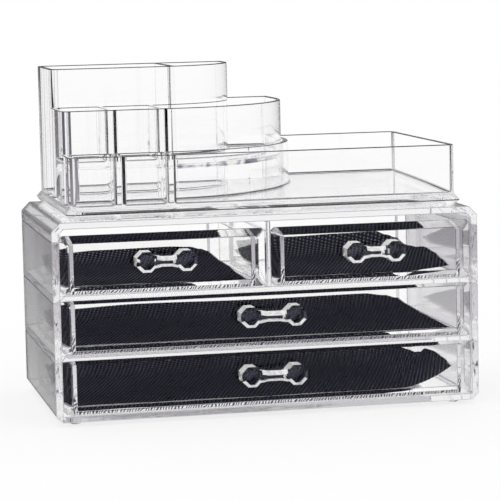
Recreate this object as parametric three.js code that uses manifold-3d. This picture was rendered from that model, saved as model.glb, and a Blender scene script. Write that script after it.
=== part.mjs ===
// Clear makeup organizer: a cabinet of four drawers with a lift-off top of cups and a tray.
// Millimetres, +Z up, the front looks along -Y. The origin is the middle of the footprint,
// handles included, on the surface that the feet stand on.
import * as THREE from 'three';
import { mergeVertices } from 'three/addons/utils/BufferGeometryUtils.js';
import Module from 'manifold-3d';

const wasm = await Module();
wasm.setup();

// Driving dimensions of the cabinet
const cabinetWidth = 240;
const cabinetDepth = 136;
const cabinetWall = 4;
const tierHeight = 33;
const tierCount = 3;
const tierFloor = 3.6;
const coverHeight = 10.7;
const coverPlate = 3.7;
const topChamfer = 4.9;
const bottomChamfer = 3.6;
const openingChamfer = 3;
const dividerThickness = 2.6;
const footHeight = 2.6;
const footRadius = 3;
const footEdge = 0.6;
const footInset = 12;

// Driving dimensions of the drawers
const frontThickness = 3;
const frontHeight = 32.3;
const frontBorder = 4.2;
const frontBevel = 1.4;
const frontCorner = 2;
const frontGap = 0.3;
const frontLift = 0.5;
const trayInset = 5.4;
const trayWall = 2.4;
const trayFloor = 2.3;
const trayHeight = 27.4;
const trayLift = 0.3;
const trayRearGap = 1.5;
const trayCorner = 1.5;

// Driving dimensions of the handles
const knobAcross = 11.2;
const knobReach = 12;
const knobChamfer = 1.6;
const smallHandlePitch = 22;
const largeHandlePitch = 25.5;
const handleRise = 1.2;
const barGap = 6.2;
const barDepth = 5;
const barHeight = 7;
const barWaist = 1.3;
const barEdge = 1.5;

// Driving dimensions of the lift-off top
const topSideInset = 11.4;
const topDepthInset = 3;
const topGap = 0.3;
const baseHeight = 6.8;
const baseFlare = 2.5;
const baseLand = 0.6;
const basePlate = 3.6;
const baseRim = 6;
const topWall = 2.4;
const trayWallHeight = 27.5;
const middleRimHeight = 51.4;
const rearRimHeight = 73.2;
const middleFloorHeight = 22;
const outerCorner = 5;
const cupCorner = 4;
const trayInnerCorner = 2;
const firstCupWidth = 26.4;
const secondCupWidth = 28.8;
const wideCupWidth = 71.9;
const frontRowDepth = 25.9;
const middleRowDepth = 42;
const curveRun = 5;
const middleStraight = 27.8;
const rearStraight = 13.8;
const lipGap = 2.1;

// Driving dimensions of the mesh liners
const linerThickness = 0.9;
const linerGap = 0.3;
const linerSideGap = 1;
const linerFrontGap = 9;
const linerRearGap = 2.5;
const linerCurl = 15;
const linerRise = 14;
const linerColumns = 22;
const linerRows = 6;
const linerCurlRows = 5;

// Roundness of the curves: steps in a quarter turn
const fineSteps = 16;
const coarseSteps = 4;
const knobSides = 8;
const footSides = 20;

// How far a cut runs past the faces that it opens
const overrun = 2;

// Places that follow from the driving dimensions
const halfWidth = cabinetWidth / 2;
const frontY = (knobReach - cabinetDepth) / 2;
const innerHalf = halfWidth - cabinetWall;
const innerDepth = cabinetDepth - cabinetWall;
const tiersHeight = tierHeight * tierCount;
const cabinetHeight = tiersHeight + coverHeight;
const shelfSetback = frontThickness + frontGap;
const trayLength = innerDepth - frontThickness - trayRearGap;
const topHalf = halfWidth - topSideInset;
const topDepth = cabinetDepth - 2 * topDepthInset;
const floorZ = baseHeight;

const clear = { color: 0xf4f2f8, roughness: 0.03, metalness: 0, transparent: true, opacity: 0.35 };
const clearPlastic = new THREE.MeshStandardMaterial(clear);
const clearHandle = new THREE.MeshStandardMaterial({ ...clear, color: 0xfafafa, roughness: 0.02 });
const blackMesh = new THREE.MeshStandardMaterial({ color: 0x101014, roughness: 0.55, metalness: 0 });

// A solid from a closed geometry, for joining and cutting
function solidOf(geometry) {
  const bare = geometry.clone();
  bare.deleteAttribute('normal');
  bare.deleteAttribute('uv');
  const merged = mergeVertices(bare);
  const vertProperties = new Float32Array(merged.attributes.position.array);
  const triVerts = new Uint32Array(merged.index.array);
  return new wasm.Manifold(new wasm.Mesh({ numProp: 3, vertProperties, triVerts }));
}

function geometryOf(solid) {
  const mesh = solid.getMesh();
  const geometry = new THREE.BufferGeometry();
  geometry.setAttribute('position', new THREE.BufferAttribute(mesh.vertProperties, 3));
  geometry.setIndex(new THREE.BufferAttribute(mesh.triVerts, 1));
  geometry.computeVertexNormals();
  return geometry;
}

function join(...geometries) {
  const solids = geometries.map(solidOf);
  return geometryOf(solids.reduce((whole, next) => whole.add(next)));
}

function cut(body, ...tools) {
  const solids = tools.map(solidOf);
  return geometryOf(solids.reduce((whole, next) => whole.subtract(next), solidOf(body)));
}

// Points of an outline whose corners [x, y, radius] are rounded where they have a radius
function roundedOutline(corners, steps = coarseSteps) {
  const points = [];
  corners.forEach(([x, y, radius = 0], index) => {
    const corner = new THREE.Vector2(x, y);
    if (radius === 0) {
      points.push(corner);
      return;
    }
    const before = corners[(index + corners.length - 1) % corners.length];
    const after = corners[(index + 1) % corners.length];
    const back = new THREE.Vector2(before[0], before[1]).sub(corner).normalize();
    const ahead = new THREE.Vector2(after[0], after[1]).sub(corner).normalize();
    const half = Math.acos(THREE.MathUtils.clamp(back.dot(ahead), -1, 1)) / 2;
    const reach = radius / Math.tan(half);
    const start = corner.clone().addScaledVector(back, reach);
    const end = corner.clone().addScaledVector(ahead, reach);
    const middle = back.clone().add(ahead).normalize();
    const centre = corner.clone().addScaledVector(middle, radius / Math.sin(half));
    const from = start.clone().sub(centre);
    const turn = Math.PI - 2 * half;
    const sense = Math.sign(from.cross(end.clone().sub(centre)));
    const count = Math.max(2, Math.round(steps * turn / (Math.PI / 2)));
    for (let step = 0; step <= count; step += 1) {
      const angle = sense * turn * step / count;
      points.push(from.clone().rotateAround(new THREE.Vector2(), angle).add(centre));
    }
  });
  return points;
}

function rectangle(x0, y0, x1, y1, radius = 0) {
  return roundedOutline([[x0, y0, radius], [x1, y0, radius], [x1, y1, radius], [x0, y1, radius]]);
}

// A wall-like solid standing on z0: an outline in plan, with holes, drawn up to z1
function upright(outline, z0, z1, holes = []) {
  const shape = new THREE.Shape(outline);
  shape.holes = holes.map((hole) => new THREE.Path(hole));
  const geometry = new THREE.ExtrudeGeometry(shape, { depth: z1 - z0, bevelEnabled: false });
  return geometry.translate(0, 0, z0);
}

// A solid drawn back from y0 to y1: an outline seen from the front, as [x, z] corners
function drawnBack(outline, y0, y1) {
  const geometry = new THREE.ExtrudeGeometry(new THREE.Shape(outline), {
    depth: y1 - y0,
    bevelEnabled: false,
  });
  return geometry.rotateX(Math.PI / 2).translate(0, y1, 0);
}

function block(x0, y0, z0, x1, y1, z1) {
  return upright(rectangle(x0, y0, x1, y1), z0, z1);
}

// A closed skin through rings of equally many points, with flat convex ends
function skin(rings) {
  const count = rings[0].length;
  const positions = rings.flat().flatMap((point) => [point.x, point.y, point.z]);
  const index = [];
  for (let ring = 0; ring + 1 < rings.length; ring += 1) {
    for (let side = 0; side < count; side += 1) {
      const next = (side + 1) % count;
      const a = ring * count + side;
      const b = ring * count + next;
      index.push(a, b, b + count, a, b + count, a + count);
    }
  }
  const last = (rings.length - 1) * count;
  for (let side = 1; side + 1 < count; side += 1) {
    index.push(0, side + 1, side);
    index.push(last, last + side, last + side + 1);
  }
  const geometry = new THREE.BufferGeometry();
  geometry.setAttribute('position', new THREE.Float32BufferAttribute(positions, 3));
  geometry.setIndex(index);
  geometry.computeVertexNormals();
  return geometry;
}

function named(name, geometry, material, position = [0, 0, 0]) {
  const mesh = new THREE.Mesh(geometry, material);
  mesh.name = name;
  mesh.position.set(...position);
  return mesh;
}

// Cabinet: three tiers, a cover, a divider and four feet, from the front plane at y = 0
function tier(isLowest) {
  const chamfer = isLowest ? bottomChamfer : 0;
  const outline = isLowest
    ? [[-halfWidth + chamfer, 0], [halfWidth - chamfer, 0], [halfWidth, chamfer]]
    : [[-halfWidth, 0], [halfWidth, 0]];
  const frame = [
    ...outline,
    [halfWidth, tierHeight],
    [innerHalf, tierHeight],
    [innerHalf, tierFloor],
    [-innerHalf, tierFloor],
    [-innerHalf, tierHeight],
    [-halfWidth, tierHeight],
    ...(isLowest ? [[-halfWidth, chamfer]] : []),
  ];
  const walls = drawnBack(frame.map(([x, z]) => new THREE.Vector2(x, z)), 0, cabinetDepth);
  const rear = block(-innerHalf, innerDepth, tierFloor, innerHalf, cabinetDepth, tierHeight);
  const shell = join(walls, rear);
  if (isLowest) {
    return shell;
  }
  const setback = block(-innerHalf, 0, 0, innerHalf, shelfSetback, tierFloor);
  return cut(shell, setback);
}

function cover() {
  const opening = coverHeight - coverPlate;
  const frame = [
    [halfWidth, 0],
    [halfWidth, coverHeight - topChamfer],
    [halfWidth - topChamfer, coverHeight],
    [-halfWidth + topChamfer, coverHeight],
    [-halfWidth, coverHeight - topChamfer],
    [-halfWidth, 0],
    [-innerHalf, 0],
    [-innerHalf, opening - openingChamfer],
    [-innerHalf + openingChamfer, opening],
    [innerHalf - openingChamfer, opening],
    [innerHalf, opening - openingChamfer],
    [innerHalf, 0],
  ];
  const shell = drawnBack(frame.map(([x, z]) => new THREE.Vector2(x, z)), 0, cabinetDepth);
  const rear = block(-innerHalf, innerDepth, 0, innerHalf, cabinetDepth, opening);
  return join(shell, rear);
}

function divider() {
  const bottom = (tierCount - 1) * tierHeight + tierFloor;
  const top = cabinetHeight - coverPlate;
  const half = dividerThickness / 2;
  return block(-half, 0, bottom, half, innerDepth, top);
}

function foot() {
  const profile = [
    new THREE.Vector2(0, 0),
    new THREE.Vector2(footRadius - footEdge, 0),
    new THREE.Vector2(footRadius, footEdge),
    new THREE.Vector2(footRadius, footHeight),
    new THREE.Vector2(0, footHeight),
  ];
  return new THREE.LatheGeometry(profile, footSides).rotateX(Math.PI / 2);
}

function cabinet() {
  const group = new THREE.Group();
  group.position.set(0, frontY, footHeight);
  const tierNames = ['lower_tier', 'middle_tier', 'upper_tier'];
  tierNames.forEach((name, index) => {
    group.add(named(name, tier(index === 0), clearPlastic, [0, 0, index * tierHeight]));
  });
  group.add(named('top_cover', cover(), clearPlastic, [0, 0, tiersHeight]));
  group.add(named('centre_divider', divider(), clearPlastic));
  for (const [side, x] of [['left', -halfWidth + footInset], ['right', halfWidth - footInset]]) {
    for (const [end, y] of [['front', footInset], ['rear', cabinetDepth - footInset]]) {
      group.add(named(`foot_${end}_${side}`, foot(), clearPlastic, [x, y, -footHeight]));
    }
  }
  return group;
}

// Drawers: each in its own frame, with x across from its middle and z from its tier's floor
function drawerFront(width) {
  const half = width / 2;
  const ring = (inset, y) => {
    const x = half - inset;
    const low = frontLift + inset;
    const high = frontLift + frontHeight - inset;
    const corners = [
      [x - frontCorner, low],
      [x, low + frontCorner],
      [x, high - frontCorner],
      [x - frontCorner, high],
      [-x + frontCorner, high],
      [-x, high - frontCorner],
      [-x, low + frontCorner],
      [-x + frontCorner, low],
    ];
    return corners.map(([across, up]) => new THREE.Vector3(across, y, up));
  };
  return skin([ring(frontBorder, 0), ring(0, frontBevel), ring(0, frontThickness)].reverse());
}

function drawerTray(width) {
  const half = width / 2 - trayInset;
  const top = trayLift + trayHeight;
  const floorTop = trayLift + trayFloor;
  const rear = frontThickness + trayLength;
  const outer = [
    [-half, trayLift, trayCorner],
    [half, trayLift, trayCorner],
    [half, top],
    [-half, top],
  ];
  const inner = half - trayWall;
  const hollow = block(
    -inner, 0, floorTop,
    inner, rear - trayWall, top + trayHeight,
  );
  return cut(drawnBack(roundedOutline(outer), frontThickness, rear), hollow);
}

// The eight corners of a knob's ring, flat at its top, bottom and sides
function knobRing(across, x, y) {
  const radius = across / 2 / Math.cos(Math.PI / knobSides);
  return Array.from({ length: knobSides }, (_, side) => {
    const angle = (side + 1 / 2) * 2 * Math.PI / knobSides;
    return new THREE.Vector3(x + radius * Math.cos(angle), y, radius * Math.sin(angle));
  });
}

function knob(x) {
  const front = knobAcross - 2 * knobChamfer;
  return skin([
    knobRing(knobAcross, x, 0),
    knobRing(knobAcross, x, -knobReach + knobChamfer),
    knobRing(front, x, -knobReach),
  ]);
}

// A ring of the bar, square to x, with its corners cut off
function barRing(x, depth, height) {
  const middle = -barGap - barDepth / 2;
  const y = depth / 2;
  const z = height / 2;
  const corners = [
    [-y + barEdge, -z], [y - barEdge, -z], [y, -z + barEdge], [y, z - barEdge],
    [y - barEdge, z], [-y + barEdge, z], [-y, z - barEdge], [-y, -z + barEdge],
  ];
  return corners.map(([back, up]) => new THREE.Vector3(x, middle + back, up));
}

function handle(pitch) {
  const knobX = pitch / 2;
  const neckX = knobX - knobAcross / 2;
  const waistX = neckX / 2;
  const waistDepth = barDepth - barWaist / 2;
  const waistHeight = barHeight - barWaist;
  const bar = skin([
    barRing(-knobX, barDepth, barHeight),
    barRing(-neckX, barDepth, barHeight),
    barRing(-waistX, waistDepth, waistHeight),
    barRing(waistX, waistDepth, waistHeight),
    barRing(neckX, barDepth, barHeight),
    barRing(knobX, barDepth, barHeight),
  ]);
  return join(knob(-knobX), bar, knob(knobX));
}

// A liner of woven mesh lies on the tray's floor. Its rear edge and its right end curl up
// against the walls, by shares of the largest rise.
function liner(width, { rearShare, rightFrontShare, rightRearShare }) {
  const half = width / 2 - trayInset - trayWall - linerSideGap;
  const y0 = frontThickness + linerFrontGap;
  const y1 = frontThickness + trayLength - trayWall - linerRearGap;
  const z0 = trayLift + trayFloor + linerGap;
  const rows = [];
  for (let row = 0; row <= linerRows; row += 1) {
    rows.push(y0 + (y1 - linerCurl - y0) * row / linerRows);
  }
  for (let row = 1; row <= linerCurlRows; row += 1) {
    rows.push(y1 - linerCurl + linerCurl * row / linerCurlRows);
  }
  const height = (x, y) => {
    const back = THREE.MathUtils.clamp((y - y1 + linerCurl) / linerCurl, 0, 1);
    const right = THREE.MathUtils.clamp((x - half + 2 * linerCurl) / (2 * linerCurl), 0, 1);
    const along = (y - y0) / (y1 - y0);
    const rightShare = rightFrontShare + (rightRearShare - rightFrontShare) * along;
    return linerRise * Math.max(rearShare * back * back, rightShare * right * right);
  };
  const positions = [];
  const across = linerColumns + 1;
  for (const lift of [0, linerThickness]) {
    for (const y of rows) {
      for (let column = 0; column <= linerColumns; column += 1) {
        const x = -half + 2 * half * column / linerColumns;
        positions.push(x, y, z0 + height(x, y) + lift);
      }
    }
  }
  const under = rows.length * across;
  const index = [];
  const wall = (a, b) => index.push(a, b, b + under, a, b + under, a + under);
  for (let row = 0; row + 1 < rows.length; row += 1) {
    for (let column = 0; column < linerColumns; column += 1) {
      const a = row * across + column;
      const b = a + across;
      index.push(a, b + 1, a + 1, a, b, b + 1);
      index.push(a + under, a + under + 1, b + under + 1, a + under, b + under + 1, b + under);
    }
    wall((row + 1) * across, row * across);
    wall(row * across + linerColumns, (row + 1) * across + linerColumns);
  }
  const rearRow = (rows.length - 1) * across;
  for (let column = 0; column < linerColumns; column += 1) {
    wall(column, column + 1);
    wall(rearRow + column + 1, rearRow + column);
  }
  const geometry = new THREE.BufferGeometry();
  geometry.setAttribute('position', new THREE.Float32BufferAttribute(positions, 3));
  geometry.setIndex(index);
  geometry.computeVertexNormals();
  return geometry;
}

const wideFront = 2 * (innerHalf - frontGap);
const smallFront = innerHalf - frontGap - dividerThickness / 2 - frontGap;
const smallCentre = dividerThickness / 2 + frontGap + smallFront / 2;

const drawers = [
  {
    name: 'bottom_drawer', width: wideFront, x: 0, tier: 0, pitch: largeHandlePitch,
    curl: { rearShare: 0.45, rightFrontShare: 0.85, rightRearShare: 0.95 },
  },
  {
    name: 'middle_drawer', width: wideFront, x: 0, tier: 1, pitch: largeHandlePitch,
    curl: { rearShare: 0.45, rightFrontShare: 0, rightRearShare: 0.3 },
  },
  {
    name: 'left_drawer', width: smallFront, x: -smallCentre, tier: 2, pitch: smallHandlePitch,
    curl: { rearShare: 0.55, rightFrontShare: 0, rightRearShare: 0.15 },
  },
  {
    name: 'right_drawer', width: smallFront, x: smallCentre, tier: 2, pitch: smallHandlePitch,
    curl: { rearShare: 0.8, rightFrontShare: 0.35, rightRearShare: 0.45 },
  },
];

function drawer({ name, width, x, tier: level, pitch, curl }) {
  const group = new THREE.Group();
  group.position.set(x, frontY, footHeight + level * tierHeight + tierFloor);
  const handleZ = frontLift + frontHeight / 2 + handleRise;
  group.add(named(`${name}_front`, drawerFront(width), clearPlastic));
  group.add(named(`${name}_tray`, drawerTray(width), clearPlastic));
  group.add(named(`${name}_handle`, handle(pitch), clearHandle, [0, 0, handleZ]));
  group.add(named(`${name}_liner`, liner(width, curl), blackMesh));
  return group;
}

// Lift-off top, in its own frame: x across from the middle, y back from its front wall,
// z up from its underside
const leftInner = -topHalf + topWall;
const firstDivider = leftInner + firstCupWidth - topWall;
const secondDivider = firstDivider + secondCupWidth;
const rowEnd = secondDivider + topWall;
const wideDivider = leftInner + wideCupWidth - topWall;
const curveX = rowEnd + curveRun;
const middleFront = frontRowDepth + topGap;
const middleCurve = topDepth - middleFront - middleStraight;
const middleRight = curveX + middleCurve;
const rearFront = middleFront + middleRowDepth;
const rearCurve = topDepth - rearFront - rearStraight;
const rearRight = curveX + rearCurve;
const lipFront = frontRowDepth - topWall;
const lipRight = middleRight + lipGap + topWall;
const lipCurve = middleCurve + lipGap + topWall;
const topBack = topDepth - topWall;
const wallTop = floorZ + trayWallHeight;
const middleRim = floorZ + middleRimHeight;
const rearRim = floorZ + rearRimHeight;
const middleFloor = floorZ + middleFloorHeight;

function topBase() {
  const low = (baseHeight - baseLand) / 2;
  const ring = (out, z) => {
    const outline = rectangle(-topHalf - out, -out, topHalf + out, topDepth + out, outerCorner);
    return outline.map((point) => new THREE.Vector3(point.x, point.y, z));
  };
  const plate = skin([
    ring(0, 0),
    ring(baseFlare, low),
    ring(baseFlare, low + baseLand),
    ring(0, baseHeight),
  ]);
  const pocket = block(
    -topHalf + baseRim, baseRim, -overrun,
    topHalf - baseRim, topDepth - baseRim, baseHeight - basePlate,
  );
  return cut(plate, pocket);
}

function frontCupRow() {
  const outline = roundedOutline([
    [-topHalf, 0, outerCorner],
    [rowEnd, 0],
    [rowEnd, frontRowDepth],
    [-topHalf, frontRowDepth],
  ]);
  const cups = [
    rectangle(leftInner, topWall, firstDivider, lipFront, cupCorner),
    rectangle(firstDivider + topWall, topWall, secondDivider, lipFront, cupCorner),
  ];
  return upright(outline, floorZ, wallTop, cups);
}

// The middle row stands on the base. Its floor is raised, and the space under it is hollow.
// The rear row's wall closes its cups at the back.
function middleCupRow() {
  const inner = middleFront + topWall;
  const corners = (wall) => [
    [middleRight - wall, middleFront + wall, middleCurve - wall],
    [middleRight - wall, topDepth - wall],
  ];
  const whole = roundedOutline([
    [-topHalf, middleFront, outerCorner], ...corners(0), [-topHalf, topDepth],
  ], fineSteps);
  const hollow = roundedOutline([
    [leftInner, inner], ...corners(topWall), [leftInner, topBack],
  ], fineSteps);
  const wideCup = roundedOutline([
    [rowEnd, inner, cupCorner], ...corners(topWall), [rowEnd, topBack],
  ], fineSteps);
  const rearRowPlace = roundedOutline([
    [-topHalf - overrun, rearFront - topGap],
    [rearRight + topGap, rearFront - topGap, rearCurve + topGap],
    [rearRight + topGap, topDepth + overrun],
    [-topHalf - overrun, topDepth + overrun],
  ], fineSteps);
  const cupBack = rearFront + cupCorner;
  const firstCup = rectangle(leftInner, inner, firstDivider, cupBack, cupCorner);
  const secondCup = rectangle(firstDivider + topWall, inner, secondDivider, cupBack, cupCorner);
  const cutTop = middleRim + overrun;
  return cut(
    upright(whole, floorZ, middleRim),
    upright(hollow, floorZ - overrun, middleFloor - topWall),
    upright(rearRowPlace, floorZ - overrun, cutTop),
    upright(firstCup, middleFloor, cutTop),
    upright(secondCup, middleFloor, cutTop),
    upright(wideCup, middleFloor, cutTop),
  );
}

// The rear row's cups reach down to the base. The second cup has a curved side.
function rearCupRow() {
  const inner = rearFront + topWall;
  const outline = roundedOutline([
    [-topHalf, rearFront, outerCorner],
    [rearRight, rearFront, rearCurve],
    [rearRight, topDepth],
    [-topHalf, topDepth],
  ], fineSteps);
  const insideWalls = roundedOutline([
    [leftInner, inner],
    [rearRight - topWall, inner, rearCurve - topWall],
    [rearRight - topWall, topBack],
    [leftInner, topBack],
  ], fineSteps);
  const wide = rectangle(leftInner, inner, wideDivider, topBack, cupCorner);
  const besideCurved = rectangle(
    leftInner - overrun, inner - overrun,
    wideDivider + topWall, topBack + overrun,
  );
  const cutFrom = floorZ - overrun;
  const cutTop = rearRim + overrun;
  const inside = upright(insideWalls, cutFrom, cutTop);
  const wideBlock = upright(wide, cutFrom, cutTop);
  // What of the wide block lies outside the walls' inner faces is left standing
  const wideCup = cut(wideBlock, cut(wideBlock, inside));
  const curvedCup = cut(inside, upright(besideCurved, cutFrom - overrun, cutTop + overrun));
  return cut(upright(outline, floorZ, rearRim), wideCup, curvedCup);
}

// The tray's wall runs along the front, right and rear, and back along the curve of the cups
function trayWalls() {
  const outline = roundedOutline([
    [rowEnd, 0],
    [topHalf, 0, outerCorner],
    [topHalf, topDepth, outerCorner],
    [lipRight - topWall, topDepth],
    [lipRight - topWall, lipFront + topWall, lipCurve - topWall],
    [rowEnd, lipFront + topWall],
    [rowEnd, lipFront],
    [lipRight, lipFront, lipCurve],
    [lipRight, topBack, trayInnerCorner],
    [topHalf - topWall, topBack, trayInnerCorner],
    [topHalf - topWall, topWall, trayInnerCorner],
    [rowEnd, topWall],
  ], fineSteps);
  return upright(outline, floorZ, wallTop);
}

function liftOffTop() {
  const group = new THREE.Group();
  group.position.set(0, frontY + topDepthInset, footHeight + cabinetHeight + topGap);
  group.add(named('top_base', topBase(), clearPlastic));
  group.add(named('front_cup_row', frontCupRow(), clearPlastic));
  group.add(named('middle_cup_row', middleCupRow(), clearPlastic));
  group.add(named('rear_cup_row', rearCupRow(), clearPlastic));
  group.add(named('tray_wall', trayWalls(), clearPlastic));
  return group;
}

const organizer = new THREE.Group();
organizer.add(cabinet());
drawers.forEach((row) => organizer.add(drawer(row)));
organizer.add(liftOffTop());

export default organizer;
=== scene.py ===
"""Clear makeup organizer: the looks of the cabinet, its drawers and its lift-off top."""
import math

import bmesh
import bpy
from bpy.props import FloatProperty, FloatVectorProperty, IntProperty, PointerProperty
from mathutils import Matrix, Vector


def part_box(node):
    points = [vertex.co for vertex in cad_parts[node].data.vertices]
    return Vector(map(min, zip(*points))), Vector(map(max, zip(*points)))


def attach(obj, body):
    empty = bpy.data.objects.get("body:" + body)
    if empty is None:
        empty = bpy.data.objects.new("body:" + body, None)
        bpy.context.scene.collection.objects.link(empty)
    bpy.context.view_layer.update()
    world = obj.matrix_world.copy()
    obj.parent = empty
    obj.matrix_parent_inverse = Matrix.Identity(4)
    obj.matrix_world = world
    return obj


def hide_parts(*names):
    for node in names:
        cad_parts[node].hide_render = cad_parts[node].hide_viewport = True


bl_info = {
    "name": "Clear makeup organizer",
    "version": (1, 0, 0),
    "blender": (4, 5, 0),
    "location": "View3D > Sidebar > Organizer",
    "description": "Builds a clear organizer with drawers, mesh liners and a lift-off top",
    "category": "Object",
}

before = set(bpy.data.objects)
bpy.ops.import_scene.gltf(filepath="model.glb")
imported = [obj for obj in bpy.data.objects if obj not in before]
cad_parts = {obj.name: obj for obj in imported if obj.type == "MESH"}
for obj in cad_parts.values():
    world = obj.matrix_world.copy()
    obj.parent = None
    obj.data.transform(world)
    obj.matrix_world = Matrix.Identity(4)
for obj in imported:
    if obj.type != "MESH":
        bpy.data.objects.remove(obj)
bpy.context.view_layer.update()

MM = 0.001
WHITE = (1, 1, 1, 1)
BLACK = (0, 0, 0, 1)

# How near a point has to be to a side to lie on it, and how much of a face's normal has to lie
# along an axis for the face to look that way
NEAR = 0.1 * MM
FACING = 0.99

TIERS = ("lower_tier", "middle_tier", "upper_tier", "top_cover")
FEET = ("foot_front_left", "foot_front_right", "foot_rear_left", "foot_rear_right")
DRAWERS = ("bottom_drawer", "middle_drawer", "left_drawer", "right_drawer")
TOP_NODES = ("top_base", "front_cup_row", "middle_cup_row", "rear_cup_row", "tray_wall")

# How each liner curls up, in millimetres: its rear edge by the share of the way from left to
# right, its right end by the share of the way from front to rear, how far back its front edge
# lies, and how often that edge waves
LINER_CURLS = {
    "bottom_drawer": {
        "rear": ((0, 5.6), (0.3, 6.4), (0.7, 5.8), (0.93, 6.4), (1, 6)),
        "right": (
            (0, 11), (0.12, 13.4), (0.3, 14.4), (0.45, 13.6), (0.57, 9.6), (0.7, 7.6), (1, 6)),
        "front": 1,
        "waves": 5,
    },
    "middle_drawer": {
        "rear": ((0, 5.4), (0.25, 7), (0.6, 6.2), (0.9, 6.6), (0.96, 5), (1, 2.6)),
        "right": ((0, 0), (0.5, 0.6), (0.8, 1.6), (1, 2.6)),
        "front": 4,
        "waves": 4,
    },
    "left_drawer": {
        "rear": ((0, 5.4), (0.3, 7.2), (0.75, 7.6), (0.88, 7), (0.95, 5.4), (1, 3.4)),
        "right": ((0, 0), (0.25, 0.6), (0.45, 1.8), (0.65, 2), (1, 3.4)),
        "front": 4,
        "waves": 3,
    },
    "right_drawer": {
        "rear": ((0, 9.4), (0.3, 10.4), (0.6, 11), (0.86, 11.4), (0.93, 9), (1, 6)),
        "right": (
            (0, 2.4), (0.13, 4.4), (0.27, 6.6), (0.45, 7.6), (0.68, 5.4), (0.83, 4.6), (1, 6)),
        "front": 4,
        "waves": 4,
    },
}

# Places of the finishes in the material slots of the clear pieces and handles
# Past the body, the finishes carry painted shade, glints or highlights, except that of the trays'
# sides
BODY, EDGE = range(2)
CORNER = SIDE = JOINT = BRIGHT = 2
RIBBON = TRAY_SIDE = FRONT = DIM = 3
OUTER = 4


def length(name, description, default):
    """A length property in metres, from a default in millimetres."""
    return FloatProperty(
        name=name, description=description, default=default * MM,
        unit="LENGTH", subtype="DISTANCE", precision=5,
    )


def colour(name, description, *parts):
    """A colour property from its red, green and blue."""
    return FloatVectorProperty(
        name=name, description=description, subtype="COLOR", size=4, default=(*parts, 1),
        min=0, max=1,
    )


def number(name, description, default, low=0, high=1):
    """A number property between two limits."""
    return FloatProperty(name=name, description=description, default=default, min=low, max=high)


class PlasticSettings(bpy.types.PropertyGroup):
    """The clear plastic of the cabinet, drawers and top"""

    tint: colour("Tint", "Colour of the clear plastic", 0.997, 0.996, 0.998)
    # The rounded edges are tinted grey as painted shade, which draws them as dark lines
    edge_shade_tint: colour("Edge tint", "Colour of the rounded edges", 0.55, 0.54, 0.57)
    side_ior: number(
        "Side IOR", "Index of refraction of side walls that hardly mirror", 1.02, 1, 2)
    # The cabinet's outer sides get a faint lilac-grey tint as painted shade
    side_shade_tint: colour("Side tint", "Colour of the cabinet's outer sides", 0.99, 0.985, 0.99)
    # The streaks in the top's left outer wall are painted shade
    streak_shade_tint: colour(
        "Streak tint", "Colour of the streaks in the top's left wall", 0.3, 0.29, 0.31)
    # The dark veins in the front columns are painted shade
    vein_shade_tint: colour(
        "Vein tint", "Colour of the veins in the cabinet's front columns", 0.04, 0.04, 0.05)
    # A tray's front end, where it meets the front, is painted with shade: dark streaks low down,
    # clearer above
    joint_light: colour("Joint light", "Colour of a glued end's clearer part", 0.97, 0.98, 1)
    joint_base: length("Joint base", "Height at which the lowest tray's glued end begins", 6.5)
    joint_pitch: length("Joint pitch", "Height from one tray's glued end to the next", 33)
    joint_shade_tint: colour("Joint tint", "Colour of a tray's glued end", 0.001, 0.001, 0.002)
    # The cups' inner corners are painted near black as shade
    corner_shade_tint: colour("Corner tint", "Colour of the cups' inner corners", 0.006, 0.006, 0.009)
    # The top's rims and rounded edges are painted near black as shade
    rim_shade_tint: colour("Rim tint", "Colour of the top's rims and edges", 0.03, 0.03, 0.035)
    mirror: colour("Mirror tint", "Tint of the mirror images in the plastic", 0.45, 0.45, 0.52)
    drawer_mirror: colour(
        "Drawer mirror tint", "Tint of the mirror images in the drawers", 0.34, 0.34, 0.48)
    handle_tint: colour("Handle tint", "Colour of the handles", 0.98, 0.98, 0.98)
    depth_tint: colour("Depth tint", "Colour that thick plastic turns to", 0.64, 0.62, 0.66)
    depth_density: FloatProperty(
        name="Depth density", description="How fast thick plastic takes its depth tint, per metre",
        default=2, min=0,
    )
    ior: number("IOR", "Index of refraction of the plastic", 1.52, 1, 2)
    # The shine falls on the handles' painted highlights and on the cups' corners of painted shade
    gloss: number("Gloss level", "Strength of the shine on milky facets and dark corners", 0.2)


class CabinetSettings(bpy.types.PropertyGroup):
    """The standing cabinet"""

    joint_gap: length("Joint gap", "Gap that shows as a seam between two stacked tiers", 0.08)
    edge_radius: length("Edge rounding", "Rounding of the cabinet's edges", 0.4)


class DrawerSettings(bpy.types.PropertyGroup):
    """The sliding drawers"""

    edge_radius: length("Edge rounding", "Rounding of the drawers' edges", 0.35)
    handle_radius: length("Handle rounding", "Rounding of the handles' edges", 0.3)
    knob_across: length("Knob width", "Width of a knob across its flats", 11.2)
    bar_bevel: length("Bar bevel", "How much deeper the bar's upper bevel is cut", 0.8)


class TopSettings(bpy.types.PropertyGroup):
    """The lift-off top with its cups and its tray"""

    wall: length("Wall", "Thickness of the walls", 2.4)
    floor_height: length("Floor height", "Height of the tray's floor over the underside", 6.8)
    middle_floor: length("Middle floor", "Height of the middle row's raised floor", 28.8)
    tray_rim: length("Tray rim", "Height of the tray's rim", 34.3)
    middle_rim: length("Middle rim", "Height of the middle row's rim", 58.2)
    rear_rim: length("Rear rim", "Height of the rear row's rim", 80)
    corner: length("Corner", "Radius of the outer corners", 5)
    cup_corner: length("Cup corner", "Radius of the cups' corners", 4)
    floor_fillet: length("Floor fillet", "Rounding where the cups' walls meet their floors", 1.4)
    rim_radius: length("Rim rounding", "Rounding of the rims and edges", 0.45)
    ribbon: length("Ribbon", "Height of the bevel under the middle row's floor", 2.6)
    large_radius: length("Large radius", "Radius from which a curve counts as large", 20)
    curve_steps: IntProperty(
        name="Curve steps", description="Steps in a quarter turn of the large curves",
        default=48, min=8,
    )
    corner_steps: IntProperty(
        name="Corner steps", description="Steps in a quarter turn of the small corners",
        default=12, min=2,
    )


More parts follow.
